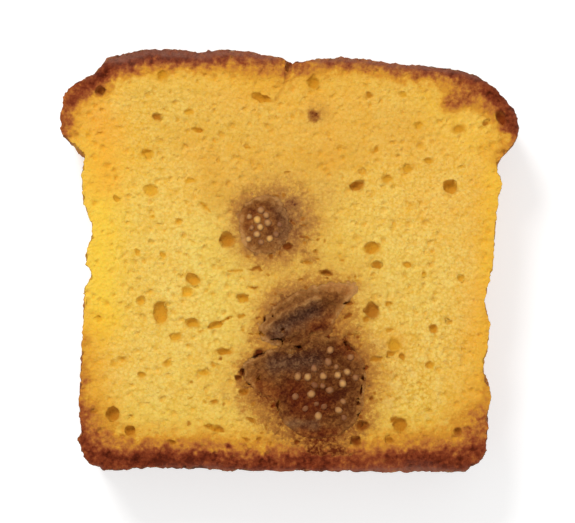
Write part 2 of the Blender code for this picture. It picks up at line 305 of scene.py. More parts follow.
def oval(places, x, y, width, height, turn, edge):  # 1 inside it and 0 outside
    c, s = math.cos(math.radians(turn)), math.sin(math.radians(turn))
    across, up = places[:, 0] - x, places[:, 1] - y
    far = np.hypot((c * across + s * up) / (width / 2), (c * up - s * across) / (height / 2))
    return 1 - smooth(1 - edge, 1 + edge, far)


def strokes(places, settings):
    total = np.zeros(len(places))
    for reach, strength, *path in settings:
        total = np.maximum(total, strength * np.exp(-((pathDistance(places, path) / reach) ** 2)))
    return total


def keepInside(places):  # nothing leaves the box of the solids
    low, high = np.array(cadBox[0]) / mm, np.array(cadBox[1]) / mm
    return np.clip(places, low, high)


def surfaceDistance(places, tree):
    return np.array([tree.find_nearest(p)[3] for p in places.tolist()])


def faceTree(faces):  # to find the nearest of these faces, in millimetres
    corners, rings = [], []
    for face in faces:
        rings.append(tuple(range(len(corners), len(corners) + len(face.verts))))
        corners += [v.co / mm for v in face.verts]
    return BVHTree.FromPolygons(corners, rings)


def outerWall(work):  # the crusted outside of a solid, without its cut faces and holes
    tree = BVHTree.FromBMesh(work)
    found = []
    for face in work.faces:
        out = Vector((face.normal.x, face.normal.y, 0))
        if abs(face.normal.z) > 0.8 or out.length < 1e-6:
            continue
        out.normalize()
        if tree.ray_cast(face.calc_center_median() + out * 0.02 * mm, out)[0] is None:
            found.append(face)
    return faceTree(found)


# The crumb with its crust

crumb = {
    "voxel": 0.3, "triangles": 196000,
    # air holes beyond those of the solid: x, y, width, height, depth, darkness inside (painted shade)
    "holes": [
        (-25.7, 37, 2.2, 1.8, 0.5, 0.2), (-20.3, 29.8, 1.8, 1.4, 0.4, 0.1),
        (-34.8, 12.5, 1.5, 1.3, 0.6, 0.05), (-8.5, 22.6, 1.3, 0.5, 0.6, 0.3),
        (-0.5, 17.8, 1.3, 0.5, 0.6, 0.4), (-27.6, 8.9, 1.2, 1.1, 0.5, 0), (-22.4, 8, 1.2, 1.2, 0.6, 0.05),
        (-30.5, 1.9, 1.2, 1.2, 0.6, 0), (-25.5, 1.2, 1.2, 1.3, 0.6, 0.05),
        (-0.5, 2.9, 1.8, 1.4, 0.9, 0.75), (15.9, 33.3, 1.6, 1.2, 0.5, 0.3),
        (22.7, 33.3, 1.2, 1, 0.5, 0.1), (39.1, 27.5, 1.2, 1, 0.6, 0.45), (25.7, 27.1, 2, 1.6, 0.4, 0.1),
        (33.7, 26.4, 2.8, 1.6, 0.4, 0.2), (17.3, 22.3, 1, 1.4, 0.6, 0.2), (27.8, 20.1, 2, 1.2, 0.5, 0.15),
        (34.2, 18.9, 1.6, 0.5, 0.6, 0.15), (23.5, 18.5, 1.8, 1.6, 0.5, 0.15),
        (23.5, -0.7, 1.8, 1, 0.5, 0.15), (26.8, -2.6, 1, 1.2, 0.6, 0.1), (34, -3.4, 1.2, 1.2, 0.6, 0.1),
        (19.4, -8.6, 1.2, 1, 0.5, 0.2), (20, -18.6, 1.8, 1, 0.6, 0.3), (22.4, -19.1, 1.2, 1.4, 0.6, 0.3),
        (27.8, -20.7, 1.6, 1.4, 0.5, 0.15), (17.1, -19.6, 2, 0.8, 0.5, 0.35),
        (14.4, -33, 2.4, 1.9, 0.8, 0.7), (20, -35.8, 1.6, 1, 0.6, 0.45),
        (-24.6, -20.5, 1.6, 1.2, 0.5, 0.1), (-29.7, -22.8, 1.6, 1.2, 0.5, 0.15),
        (-9.7, -22, 1, 1.6, 0.9, 0.82), (-10.4, -23.4, 1.3, 1.2, 0.8, 0.75),
        (-9.2, -26.2, 1.8, 1.3, 0.9, 0.42), (-39.3, -30.1, 1.2, 0.8, 0.6, 0.5),
        (-23.7, -36.2, 1.6, 1, 0.6, 0.5), (13.5, -15.1, 0.8, 0.8, 1, 0.7), (13.3, -36, 2, 1.8, 1, 0.8),
        (20.8, -31.8, 1.7, 1.2, 0.6, 0.4), (-15.2, -28.2, 1.3, 1, 0.5, 0.3),
    ],
    # the larger holes, which the solid has: x, y, width, height, turn in degrees, darkness (painted
    # shade)
    "pores": [
        (-37.8, 34, 1.9, 1.4, 20, 0.78), (-26.6, 28.8, 1.9, 1.1, -20, 0.4),
        (-18.4, 26.2, 2.5, 1.1, 0, 0.25), (-5.6, 32.6, 4.2, 1.5, -12, 0.24),
        (-28.6, 21.4, 2.5, 1.9, -10, 0.1), (-27.8, 14.2, 2.8, 2.5, 0, 0.05),
        (-20, 16.2, 2.1, 1.2, 5, 0.1), (-12.6, 4.2, 2.9, 2.8, 40, 0.35), (4.6, 35.8, 2.5, 2.6, 0, 0.24),
        (13.4, 15, 3, 1.9, 8, 0.37), (32, 14.8, 3, 2.6, -15, 0.22), (19.4, 16.5, 2.3, 1.8, 0, 0.15),
        (16.4, 2.6, 3.2, 2.4, 0, 0.2), (17.4, -0.8, 1.9, 1.5, 0, 0.3), (7, -2.4, 2.9, 1, -8, 0.45),
        (16.4, -10, 3.1, 3.5, 15, 0.45), (-19.4, -3.8, 3.2, 2.3, -15, 0.15), (-20.6, -6.3, 2.5, 2, 20, 0),
        (-25.9, -10.4, 2.9, 4.8, 4, 0.15), (-29.9, -8, 1.4, 1.9, -10, 0.05),
        (-19.6, -12.4, 3, 1.7, -6, 0.15), (-15, -13, 3.2, 1.3, 14, 0.1), (-22.8, -15.2, 2.5, 1.7, 0, 0.1),
        (-9.4, -7.4, 2.7, 1.5, -15, 0.2), (-13.2, -18.2, 3.8, 1.5, 0, 0.25),
        (-35.5, -30.6, 2.7, 2.9, -15, 0.38), (-32, -34, 2.1, 1.8, -20, 0.38),
        (22, -32.8, 3.1, 2.9, -20, 0.35), (20.8, -16.8, 2.7, 2.8, 0, 0.15),
        (28.6, -13.6, 1.7, 1.9, 30, 0.2), (-17.2, -22.4, 2.5, 1.3, -8, 0.1),
        (-14.8, -33.6, 3.3, 1.2, -14, 0.25), (42.2, 28.6, 1.7, 3.2, 22, 0.85),
        (33.6, -34.1, 1.4, 1.7, -15, 0.6), (0, 40, 1, 2.6, -8, 0.9), (16.6, -10.2, 1.5, 1.3, -20, 0.52),
    ],
    # small pits, most of them round the figs: x, y, width, height, turn, darkness (painted shade)
    "flecks": [
        (15.1, -11.6, 1.4, 1, -20, 0.35), (-6.2, -18.35, 2, 1.2, 28, 1), (-0.9, -13.7, 0.7, 0.8, 0, 0.75),
        (1.7, -17.3, 1.1, 0.5, -45, 0.95), (2.1, -3.7, 1, 0.5, 0, 0.5), (-4.5, -2.8, 0.7, 0.4, 0, 0.4),
        (3.2, -5.2, 0.8, 0.4, 0, 0.6), (-2.9, -6.5, 0.5, 0.4, 0, 0.5), (-5.1, -11.6, 0.6, 0.9, 10, 0.75),
        (-8.4, 0.8, 0.9, 0.4, 0, 0.45), (-7.9, -14.6, 0.9, 0.4, 0, 0.5), (-3.6, -10.6, 0.6, 0.4, 0, 0.75),
        (-3.3, -8.6, 0.8, 0.3, 0, 0.65), (-9.4, -13.7, 0.7, 0.4, 20, 0.25),
        (-12.2, -11.4, 0.9, 0.4, 20, 0.25), (-17.8, -14, 0.8, 0.5, 15, 0.2),
        (3.3, -0.3, 1.8, 0.5, 0, 0.35), (10.6, 0.1, 0.9, 0.4, 0, 0.3), (5.6, 0.5, 0.7, 0.4, 0, 0.3),
        (5.1, 2, 1, 0.6, 0, 0.45), (6.8, 3.8, 0.4, 0.7, 0, 0.4), (5.5, 4.3, 0.7, 0.4, 0, 0.45),
        (2.4, 5, 0.9, 0.4, 0, 0.75), (2.8, 3.6, 0.4, 0.7, -20, 0.45), (2.6, 8.5, 0.9, 0.5, 15, 0.55),
        (0.3, 7.8, 0.4, 0.7, 0, 0.8), (0.8, 7.4, 0.6, 0.4, -30, 0.7), (2.8, 7.1, 0.8, 0.3, 0, 0.5),
        (-1.9, 1.6, 0.5, 0.8, 0, 0.62), (-3.9, 1, 0.8, 1, 0, 0.6), (12, -3.3, 0.7, 0.4, 0, 0.35),
        (13.2, -3.1, 0.4, 0.7, 0, 0.3), (13.6, -3.8, 0.7, 0.4, 0, 0.25), (7.6, -3.6, 0.8, 0.4, 0, 0.42),
        (-8.4, -24.6, 0.8, 0.5, -10, 0.6), (-6.3, -23.6, 0.5, 1.1, 0, 0.7),
        (-19.8, -24.3, 0.7, 0.4, 0, 0.35), (-17, -28.2, 0.9, 0.4, -20, 0.2),
        (-13.1, -28.6, 0.6, 0.5, 0, 0.4), (-20.2, -32.4, 0.5, 0.6, 0, 0.4),
        (-20.1, -27.4, 0.6, 0.4, 0, 0.2), (-7.8, -31.8, 1.5, 0.8, -15, 0.4),
        (-5.6, -34.3, 0.7, 0.4, 0, 0.4), (-4.7, -33.3, 0.4, 0.8, 0, 0.5), (-3.5, -29, 0.7, 0.7, 0, 0.88),
        (-4, -36.6, 0.4, 0.8, 0, 0.5), (-15.4, -20.8, 0.8, 0.4, -10, 0.2), (1.4, -36.3, 1, 0.7, 0, 0.8),
        (16.8, -26.3, 0.7, 0.5, 0, 0.5), (16.4, -27.4, 1.1, 0.9, 0, 0.58),
        (18.2, -27.8, 0.6, 0.4, 0, 0.4), (15.3, -21.4, 0.9, 1.1, -20, 0.82),
        (14.8, -23.4, 0.5, 0.8, 20, 0.95), (14.3, -25.8, 0.5, 1.7, 0, 0.88),
        (13.9, -27.7, 0.6, 0.4, 0, 0.8), (13.9, -28.7, 0.8, 0.5, 0, 0.8), (14, -31.2, 0.8, 0.4, 0, 0.72),
        (14, -16.9, 0.6, 0.4, 0, 0.5), (19.8, -8.5, 0.9, 0.6, 0, 0.2), (-1.2, 13.1, 0.7, 0.5, 0, 0.45),
        (-2.8, 13, 0.9, 0.4, 0, 0.5), (-7.4, -28.7, 0.5, 0.5, 0, 0.45),
    ],
    # narrow clefts: half width, darkness (painted shade), path
    "clefts": [
        (0.42, 0.12, (-10.6, -6.9), (-9.8, -7.7), (-8.6, -7.5), (-8.2, -7)),
        (0.4, 0.25, (-10.8, -10.8), (-9.9, -11), (-8.9, -10.8)),
        (0.42, 0.2, (-16.5, -13.5), (-15.6, -13.1), (-14.6, -12.7), (-13.5, -12.6)),
        (0.22, 0.25, (-14.4, -12.4), (-12.8, -11.8), (-11.7, -11.3)),
        (0.22, 0.2, (-12.6, -1.9), (-10, -2), (-9, -2.1)),
        (0.36, 0.5, (-7.9, -1.8), (-6.6, -1.4), (-5.6, -1.9)),
        (0.28, 0.4, (-8.2, -5.4), (-6.8, -5.4), (-6.2, -5.1)), (0.22, 0.6, (-7, -11.4), (-6, -11.2)),
        (0.2, 0.4, (-6.9, -14.6), (-5.4, -14.5)), (0.42, 0.6, (6, -2), (7.2, -2.3), (8.3, -2.6)),
        (0.18, 0.5, (2.8, 5), (3.7, 4.7)), (0.4, 0.3, (-17, -32.8), (-15.6, -33.4)),
        (0.45, 0.38, (-14.6, -33.2), (-13.4, -34.2)), (0.3, 0.48, (-9.4, -35.4), (-8.2, -35.8)),
        (0.3, 0.5, (-6.8, -35.8), (-5.6, -35.4)), (0.24, 0.5, (-14.2, -19.7), (-13.4, -19.2)),
        (0.2, 0.78, (-2.5, -27.8), (-2.4, -30.2)),
        (0.18, 0.88, (-3.7, -15.7), (-2.4, -15.6), (-1.7, -15.4)),
        (0.18, 0.85, (-1.7, -15.2), (-1.6, -16.8)),
        (0.34, 0.7, (10.9, -11.4), (11.6, -11.1), (12.3, -10.6)),
        (0.36, 0.65, (11.1, -8.7), (11.9, -8.4), (12.7, -8.6)),
        (0.22, 0.72, (11.4, -14.7), (12.6, -14.5)), (0.3, 0.25, (19.2, -14), (20.6, -13.7)),
        (0.24, 0.15, (-18.2, 11.8), (-17.2, 11), (-16, 9.9)), (0.3, 0.35, (17.6, -19.4), (18.4, -19.8)),
        (0.3, 0.9, (10.9, -15.6), (11.6, -17.4), (13, -18.4)),
    ],
    "cleftDepth": 0.28,
    "smallHoles": {
        "count": 620, "size": (0.4, 1.3), "depth": 0.5, "seed": 5,
        "fromCrust": 1.2, "fromFigs": 1.0, "apart": 0.2, "fewerAbove": 0.35,
    },
    "pits": {"count": 3000, "size": (0.28, 0.85), "depth": 0.22, "seed": 11},
    "spread": (46, 43),  # scattered holes and pits lie this far from the middle
    "grain": {
        "size": 0.8, "height": 0.12, "fineSize": 0.45, "fine": 0.05, "swellSize": 2.6, "swell": 0.05,
    },
    "crag": {  # relief of the crust
        "size": 1.4, "height": 0.34, "blister": 2.2, "blisterReach": 0.42, "blisterDepth": 0.26,
    },
    "ragged": [(0.34, 1.5), (0.22, 0.75)],  # how far and over what length
    "lip": (1.5, 0.26),  # the crumb sinks a little where it meets a fig: reach and depth
    "crack": {  # down the upper face from the notch in the crown
        "path": [(-0.1, 39.3), (-0.7, 36.7), (-1.5, 34.3), (-2.8, 32.3)],
        "reach": 0.3, "depth": 0.12,
    },
    # crust along the outline: x, y, browning at its darkest, depth of the dark band, the width
    # over which it lightens, how far the rest fades, width of the dull outer skin
    "crust": [
        (-37, -42, 0.92, 2.7, 3.1, 5, 0.5), (-30, -42, 0.96, 2.3, 2.3, 2.7, 0.4),
        (-23, -42, 0.92, 2.7, 1.5, 2.6, 0.7), (-16, -42, 0.89, 2.8, 1.6, 4, 0.8),
        (-9, -42, 0.88, 1.9, 1.9, 3.2, 0.6), (-2, -42, 0.83, 2.3, 2.4, 3.8, 0.6),
        (5, -42, 0.9, 2.8, 2, 4.5, 0.5), (12, -42, 0.75, 2.7, 2.4, 5, 0.7),
        (19, -42, 0.78, 2.8, 1.8, 4, 0.9), (26, -42, 0.92, 3.5, 1.9, 3.4, 1.3),
        (33, -42, 0.9, 3.4, 2.6, 5.5, 0.8), (38.6, -39.5, 0.78, 3, 3.2, 7.5, 0.4),
        (39.7, -32.7, 0.5, 2.8, 3.2, 6, 0), (40.2, -25.7, 0.3, 0.6, 1.2, 6, 0),
        (39.4, -19, 0.13, 0.4, 1.5, 1, 0), (39.9, -12, 0.14, 0.6, 1, 0.8, 0),
        (39.8, -5, 0.04, 0.4, 0.8, 1, 0), (41, 2, 0.12, 0.6, 0.8, 0.8, 0),
        (41.5, 9, 0.1, 0.6, 0.8, 0.8, 0), (42.6, 16, 0.08, 0.4, 0.8, 1, 0),
        (43.8, 22, 0.34, 0.7, 1.4, 3.5, 0), (45.7, 28, 0.86, 1.9, 1.9, 1.5, 0.5),
        (41.9, 34, 0.87, 1.6, 2.2, 2.4, 0.4), (36, 37.6, 0.9, 0.4, 3.2, 6, 0.9),
        (29, 39, 0.84, 0.5, 1.9, 1.7, 1), (22, 40, 0.64, 0.9, 1.8, 1.7, 1),
        (15, 41, 0.6, 1.1, 1.5, 1.7, 1), (8, 41, 0.6, 0.9, 1.5, 2.6, 1), (1.3, 40, 0.6, 1, 1.4, 2.4, 0.4),
        (-5.4, 41.4, 0.63, 0.9, 3.2, 2.7, 1), (-12, 42, 0.76, 1.6, 1.6, 2.6, 1.3),
        (-19, 42, 0.84, 1.8, 1.2, 1.2, 1.5), (-26, 42, 0.88, 1.9, 1.6, 2.2, 1.6),
        (-33, 41.5, 0.86, 2.6, 1.4, 1.4, 1.8), (-38.9, 38, 0.86, 1.6, 2.4, 1, 0.5),
        (-44.6, 34, 0.72, 2.2, 1.8, 1.7, 0), (-45.8, 27.5, 0.58, 1.2, 1.8, 2.8, 0),
        (-42, 22, 0.1, 0.8, 1, 1, 0), (-41.6, 16, 0.03, 0.4, 0.5, 1, 0), (-40.4, 9, 0.02, 0.4, 0.5, 1, 0),
        (-41, 2, 0.01, 0.4, 0.5, 1, 0), (-40.5, -4, 0.01, 0.4, 0.5, 1, 0),
        (-41.5, -11, 0.1, 0.6, 0.6, 1, 0), (-41.8, -18, 0.28, 0.7, 1.3, 1.5, 0),
        (-42.1, -25, 0.42, 0.7, 1.6, 3, 0), (-42.1, -32, 0.62, 0.9, 2.6, 6, 0.1),
        (-41.5, -38.5, 0.86, 2, 3.4, 7, 0.3),
    ],
    "tail": 0.55,  # how brown the crumb is, of the crust's most, where the long fade begins
    # browned away from the crust
    "baked": [(2.3, 0.58, (32.2, 31.8), (36.8, 33.4)), (0.8, 0.9, (-12.4, -37))],
    # orange parts of the crumb
    "warm": [
        (6, 0.6, (-36, 27), (-30, 24)), (5, 0.9, (-40, -14), (-40, -32)), (4.5, 0.7, (42, 22), (41, -30)),
        (4, 0.7, (38, -15), (40, -14)), (3.2, 0.5, (21, -16)), (5, 0.4, (34, -28)),
        (3.5, 0.6, (-8, 35), (-2, 37)), (3.5, 0.4, (-15, 38)), (2.5, 0.5, (5, 36)),
        (3, 0.3, (-30, -39), (30, -39)),
    ],
    # creamy parts, and beside the crack a painted highlight on its lit side
    "pale": [
        (7, 0.8, (-18, 3), (-16, -10)), (9, 0.3, (-28, -20)), (1.2, 0.9, (0.9, 37), (0.5, 34.5)),
        (6, 0.3, (24, -2), (22, -34)), (3, 0.2, (-15, 33), (-28, 33)), (3, 0.4, (36, 30), (40, 27)),
        (6, 0.4, (-12, -35)), (5, 0.55, (-32, -32), (-14, -33)), (5, 0.45, (18, -33), (30, -33)),
    ],
    # painted glow: light shining through the crumb near its left and right edges, painted brighter yellow
    "bright": [
        (5, 0.75, (-38, 20), (-38, -12)), (5, 0.25, (30, 30), (38, 24)),
        (2.6, 0.6, (41, 18), (40, -8), (39, -24)),
    ],
    # redder parts
    "amber": [
        (4.5, 0.75, (-40, 31), (-37, 24), (-37, 16)), (5, 0.35, (-12, 33), (14, 32)),
        (8, 0.3, (0, 26), (34, 24)), (7, 0.25, (-16, 18), (10, 22)), (4.5, 0.4, (39, 22), (39, 2)),
        (4.5, 0.6, (39, -6), (38.5, -18)), (4, 0.45, (2, 36), (8, 30), (8, 20)),
        (4.5, 0.3, (-18, 21), (-10, 15)), (4, 0.6, (38, -24), (36, -30)), (6, 0.3, (30, 12)),
        (4.5, 0.4, (-40, -14), (-40, -26)), (2.4, 0.5, (20.9, -16.3)), (4, 0.3, (18, -24)),
    ],
    # greener parts
    "lime": [
        (8, 0.3, (-30, 12), (-26, -16)), (7, 0.75, (-16, 2), (-12, -16)), (7, 0.35, (12, 4), (24, -6)),
        (6, 0.9, (-30, -32), (-14, -33)), (5.5, 0.9, (18, -34), (31, -35)),
        (6, 0.5, (-22, -22), (-14, -24)), (5, 0.3, (24, -28)), (4, 0.5, (2, 2), (10, 0)),
    ],
    # where the crumb is more open
    "open": [
        (9, 1, (15, -20), (27, -33)), (6, 0.6, (-24, -30), (-10, -34)), (6, 0.5, (-18, -2), (-14, -18)),
        (7, 0.4, (24, -4), (30, -18)),
    ],
    # brownish, less yellow parts
    "tan": [
        (7, 0.4, (-22, 26), (24, 27)), (8, 0.35, (-8, 22), (8, 18)), (6, 0.3, (5, 2), (10, -4)),
        (3.5, 0.4, (-10, 4), (-3, -2)), (5, 0.6, (4, 20), (12, 22)), (4, 0.35, (-30, 33), (16, 34)),
        (4, 0.6, (-16, 20), (-14, 12)), (3, 0.35, (-30, -38), (34, -38)),
    ],
    # juice away from the figs
    "stain": [
        (1.1, 0.85, (4.8, 29.5)), (2.6, 0.25, (5.6, 30)), (3, 0.3, (-1, 4), (4, 1)),
        (1.8, 0.85, (4, -38), (11, -38)), (2.5, 0.35, (-6, -29), (-3, -34)), (1.6, 0.7, (0.3, 11.4)),
        (3.5, 0.16, (6, 8), (7, 14)), (1.2, 0.66, (1.5, 5.2)), (1.3, 1, (7.2, -14.8), (7.5, -16.4)),
    ],
    # more purple juice
    "plum": [(7, 1, (-4.6, 7.4), (-1.5, 8.5)), (2.5, 0.5, (-3, -8), (2, -6))],
    # juice round the figs: x, y, stain against the fig, how far it reaches
    "halo": [
        (-9.7, 7.6, 0.45, 2.2), (-8.8, 10.5, 0.58, 3.2), (-6.3, 12.4, 0.43, 3.2), (-3.2, 12, 0.48, 3.8),
        (-1.1, 9.8, 0.64, 6.6), (-0.6, 6.7, 0.67, 7), (-1.7, 3.8, 0.65, 4.4), (-4.2, 2.1, 0.55, 3.6),
        (-7.3, 2.2, 0.55, 2), (-9.3, 4.5, 0.29, 3), (-9.2, -22.1, 0.54, 1.5), (-7.5, -19.8, 0.42, 1.9),
        (-4.8, -18.6, 0.56, 3), (-1.9, -17.9, 0.74, 3.2), (9.7, -16.3, 0.77, 4), (12.4, -17.6, 0.68, 3),
        (14, -20.1, 0.63, 3.8), (14.8, -23, 0.57, 2.8), (14.5, -25.9, 0.54, 4), (14.1, -28.9, 0.51, 4.4),
        (13.1, -31.6, 0.59, 4.8), (11, -33.7, 0.68, 5), (8.2, -34.9, 0.9, 6), (5.3, -35.3, 0.92, 6),
        (2.4, -34.4, 0.73, 5), (-0.1, -32.8, 0.66, 5.2), (-1.7, -30.4, 0.69, 5.8),
        (-2.5, -27.6, 0.79, 6.2), (-5.2, -26.2, 0.76, 6.6), (-7.7, -24.6, 0.61, 3.8),
        (-5.4, -15.1, 0.46, 3), (-4.8, -12.2, 0.44, 2.2), (-3, -9.8, 0.6, 3), (-0.5, -8, 0.65, 3.2),
        (2.2, -6.7, 0.54, 4), (5.1, -5.7, 0.44, 4.4), (8.1, -5.1, 0.38, 4), (11.1, -4.9, 0.34, 2.2),
        (13.1, -6.1, 0.25, 2.4), (11, -8.3, 0.42, 5.6), (9.2, -10.8, 0.5, 5.6), (8.2, -13.6, 0.66, 5.4),
        (-2.7, -16.3, 0.56, 4),
    ],
    "tints": [  # what some of these parts, and hollows, are tinted with: share and colour; the glow near the edges is painted light and the deeper orange of the hollows is painted shade
        ("bright", 1.0, (250, 206, 62)), ("tan", 1.0, (214, 162, 58)), ("amber", 0.8, (238, 162, 52)),
        ("lime", 0.55, (232, 200, 86)), ("sunk", 0.55, (216, 152, 24)),
    ],
}


def scatter(settings, side):  # places over one cut face, as x, y, size
    draw = random.Random(settings["seed"] + int(side))
    low, high = settings["size"]
    wide, tall = crumb["spread"]
    return [
        (draw.uniform(-wide, wide), draw.uniform(-tall, tall), low + (high - low) * draw.random() ** 3)
        for _ in range(settings["count"])
    ]


def fleckShapes():  # the flecks, as wide as the mesh can hold them
    return [(x, y, w + 0.15, h + 0.2, turn, dark) for x, y, w, h, turn, dark in crumb["flecks"]]


def raggedBalls(balls, seed):  # each is x, y, z, half width, half height, half depth, turn
    draw = random.Random(seed)
    work = bmesh.new()
    bmesh.ops.create_icosphere(work, subdivisions=3, radius=1.0)
    shape = np.array([v.co for v in work.verts])
    sides = np.array([[v.index for v in face.verts] for face in work.faces])
    work.free()
    corners, faces = [], []
    for x, y, z, across, up, deep, turn in balls:
        shift = np.array([draw.uniform(0, 90) for _ in range(3)])
        crag = 1 + 0.4 * waves(shape + shift, 0.8)
        ball = shape * crag[:, None] * (across, up, deep)
        c, s = math.cos(turn), math.sin(turn)
        ball = ball @ np.array([[c, s, 0], [-s, c, 0], [0, 0, 1]]) + (x, y, z)
        faces.append(sides + len(corners) * len(shape))
        corners.append(ball)
    mesh = bpy.data.meshes.new("balls")
    mesh.from_pydata((np.concatenate(corners) * mm).tolist(), [], np.concatenate(faces).tolist())
    piece = bpy.data.objects.new("balls", mesh)
    scene.collection.objects.link(piece)
    return piece


def openHoles(piece, wall, figSides):
    draw = random.Random(2)
    balls, taken = [], []
    shapes = [(x, y, w, h, draw.uniform(-17, 17), depth) for x, y, w, h, depth, dark in crumb["holes"]]
    shapes += [(*shape, 0.35 + 0.3 * dark) for *shape, dark in fleckShapes()]  # darker is deeper
    for x, y, width, height, turn, depth in shapes:
        if any(math.hypot(x - t[0], y - t[1]) < 0.5 * max(width, height) + t[3] for t in taken):
            continue
        balls.append((x, y, thick, width / 2, height / 2, depth, math.radians(turn)))
        taken.append((x, y, thick, max(width, height) / 2))
    small, apart = crumb["smallHoles"], crumb["smallHoles"]["apart"]
    for side in (thick, 0.0):
        for x, y, size in scatter(small, side):
            place = Vector((x, y, side))
            if wall.find_nearest(place)[3] < small["fromCrust"]:
                continue
            if figSides.find_nearest(place)[3] < small["fromFigs"]:
                continue
            if y > 0 and draw.random() < small["fewerAbove"]:
                continue
            if any(side == t[2] and math.hypot(x - t[0], y - t[1]) < size + t[3] + apart for t in taken):
                continue
            deep = small["depth"] * draw.uniform(0.6, 1.2)
            wide = size / 2 * draw.uniform(0.9, 1.5)
            balls.append((x, y, side, wide, size / 2, deep * size, draw.uniform(-0.7, 0.7)))
            taken.append((x, y, side, wide))
    cutter = raggedBalls(balls, 8)
    apply(piece, "BOOLEAN", operation="DIFFERENCE", solver="MANIFOLD", object=cutter)
    bpy.data.objects.remove(cutter)
    print("crumb:", len(balls), "air holes opened")


def cragRise(places):
    size = crumb["crag"]["size"]
    return waves(places * (1, 1, 0.7), size, 31.0) + 0.6 * waves(places, 0.6 * size, 3.0)


def crackAcross(places):  # in half widths of the crack
    return pathDistance(places, crumb["crack"]["path"]) / crumb["crack"]["reach"]


def grainDepth(places):
    grain = crumb["grain"]
    fine = 0.5 + 0.5 * waves(places, grain["fineSize"])
    depth = grain["height"] * (0.25 + grains(places, grain["size"]) ** 1.5) + grain["fine"] * fine
    return depth + grain["swell"] * (0.6 + waves(places, grain["swellSize"], 7.0))


def grooveDepth(places):  # the crack and the clefts, on the upper face
    groove = crumb["crack"]["depth"] * np.exp(-(crackAcross(places) ** 2))
    for reach, dark, *path in crumb["clefts"]:
        groove += crumb["cleftDepth"] * np.exp(-(cleftDistance(places, path, reach * 1.3) ** 4))
    return groove * (places[:, 2] > thick - 1.5)


def addPits(places, inward):
    pits = crumb["pits"]
    for side in (thick, 0.0):
        spots = scatter(pits, side)
        tree = KDTree(len(spots))
        for i, (x, y, size) in enumerate(spots):
            tree.insert((x, y, side), i)
        tree.balance()
        near = np.abs(places[:, 2] - side) < 0.3
        found = [tree.find(p) for p in places[near].tolist()]
        reach = np.array([spots[f[1]][2] for f in found])
        gap = np.array([f[2] for f in found]) / reach
        inward[near] += pits["depth"] * (reach / 0.3) ** 0.7 * np.clip(1 - gap**2, 0, 1)


def roughen(piece, figSides):
    places, out = points(piece), normals(piece)
    inward = grainDepth(places) + grooveDepth(places)
    crag = crumb["crag"]
    reach = crag["blisterReach"]
    blister = np.clip(reach - grains(places + 40, crag["blister"]), 0, 1) / reach
    skin = 0.4 * inward + crag["height"] * np.clip(0.5 - 0.5 * cragRise(places), 0, 1.3)
    skin += crag["blisterDepth"] * blister
    flat = smooth(0.4, 0.8, np.abs(out[:, 2]))  # 1 on the cut faces, 0 on the crust
    inward = skin + flat * (inward - skin)
    addPits(places, inward)
    places -= out * inward[:, None]
    reach, depth = crumb["lip"]
    lip = depth * np.clip(1 - surfaceDistance(places, figSides) / reach, 0, 1) ** 2
    places[:, 2] += np.where(places[:, 2] > thick / 2, -lip, lip) * (np.abs(out[:, 2]) > 0.4)
    setPoints(piece, keepInside(warp(places)))


def triangles(piece):
    return sum(len(face.vertices) - 2 for face in piece.data.polygons)


def thin(piece):  # fewer triangles at the sides and the underside
    group = piece.vertex_groups.new(name="coarse")
    top = points(piece)[:, 2] > thick - 0.9
    group.add(np.where(~top)[0].tolist(), 1.0, "REPLACE")
    group.add(np.where(top)[0].tolist(), 0.3, "REPLACE")
    apply(
        piece, "DECIMATE", ratio=crumb["triangles"] / triangles(piece), vertex_group="coarse",
        vertex_group_factor=1.0,
    )
    setPoints(piece, keepInside(points(piece)))
    print("crumb:", triangles(piece), "triangles")


def crustFields(piece, wall):
    places, out = points(piece), normals(piece)
    edge = surfaceDistance(places, wall)
    rows = np.array(crumb["crust"])
    deep = np.minimum(thick - places[:, 2], places[:, 2])  # below the nearer cut face
    stray = 5.0 * smooth(0.4, 5.0, deep)
    x = places[:, 0] + stray * waves(places, 6.0, 2.0)
    y = places[:, 1] + stray * waves(places, 6.0, 17.0)
    weight = 1 / ((x[:, None] - rows[:, 0]) ** 2 + (y[:, None] - rows[:, 1]) ** 2 + 2.0) ** 2
    peak, dark, slope, fade, skin = (weight @ rows[:, 2:] / weight.sum(1)[:, None]).T
    ragged = 0.9 * waves(places, 1.6) + 0.7 * waves(places, 0.7, 3.0)
    depth = edge + ragged * smooth(0.2, 1.6, edge)
    lighter = np.clip((depth - dark) / slope, 0, 1)
    far = np.exp(-np.maximum(depth - dark - slope, 0) / fade)
    brown = peak * np.where(lighter < 1, 1 - (1 - crumb["tail"]) * lighter, crumb["tail"] * far)
    brown = np.maximum(brown, strokes(places, crumb["baked"]))
    side = (1 - smooth(0.35, 0.75, np.abs(out[:, 2]))) * (1 - smooth(0.4, 1.0, edge))
    brown += side * (1 - brown) * (0.3 + 0.25 * waves(places, 4.5, 21.0))
    setField(piece, "brown", brown)
    across = edge / np.maximum(skin, 0.05)
    skin = (1 - smooth(0.5, 1.25, across) + 0.3 * (1 - smooth(1.0, 2.6, across))) * np.minimum(skin, 1)
    setField(piece, "skin", np.clip(skin, 0, 1) * (1 - 0.5 * side))
    setField(piece, "side", side)
    # how far the crust's relief sinks in: it steers painted shade in its hollows and painted light on its
    # bumps
    setField(piece, "relief", np.clip(0.5 - 0.6 * cragRise(warp(places, -1)), 0, 1))
    # sunk is 1 deep inside the holes, whose walls get a deeper orange as painted shade
    setField(piece, "sunk", smooth(0.24, 0.66, np.minimum(deep, edge)))


def haloRows(places):  # stain against the nearest fig, and its reach
    rows = np.array(crumb["halo"])
    gap = np.hypot(places[:, :1] - rows[:, 0], places[:, 1:2] - rows[:, 1])
    weight = 1 / (gap**2 + 1.0) ** 2
    return (weight @ rows[:, 2:] / weight.sum(1)[:, None]).T


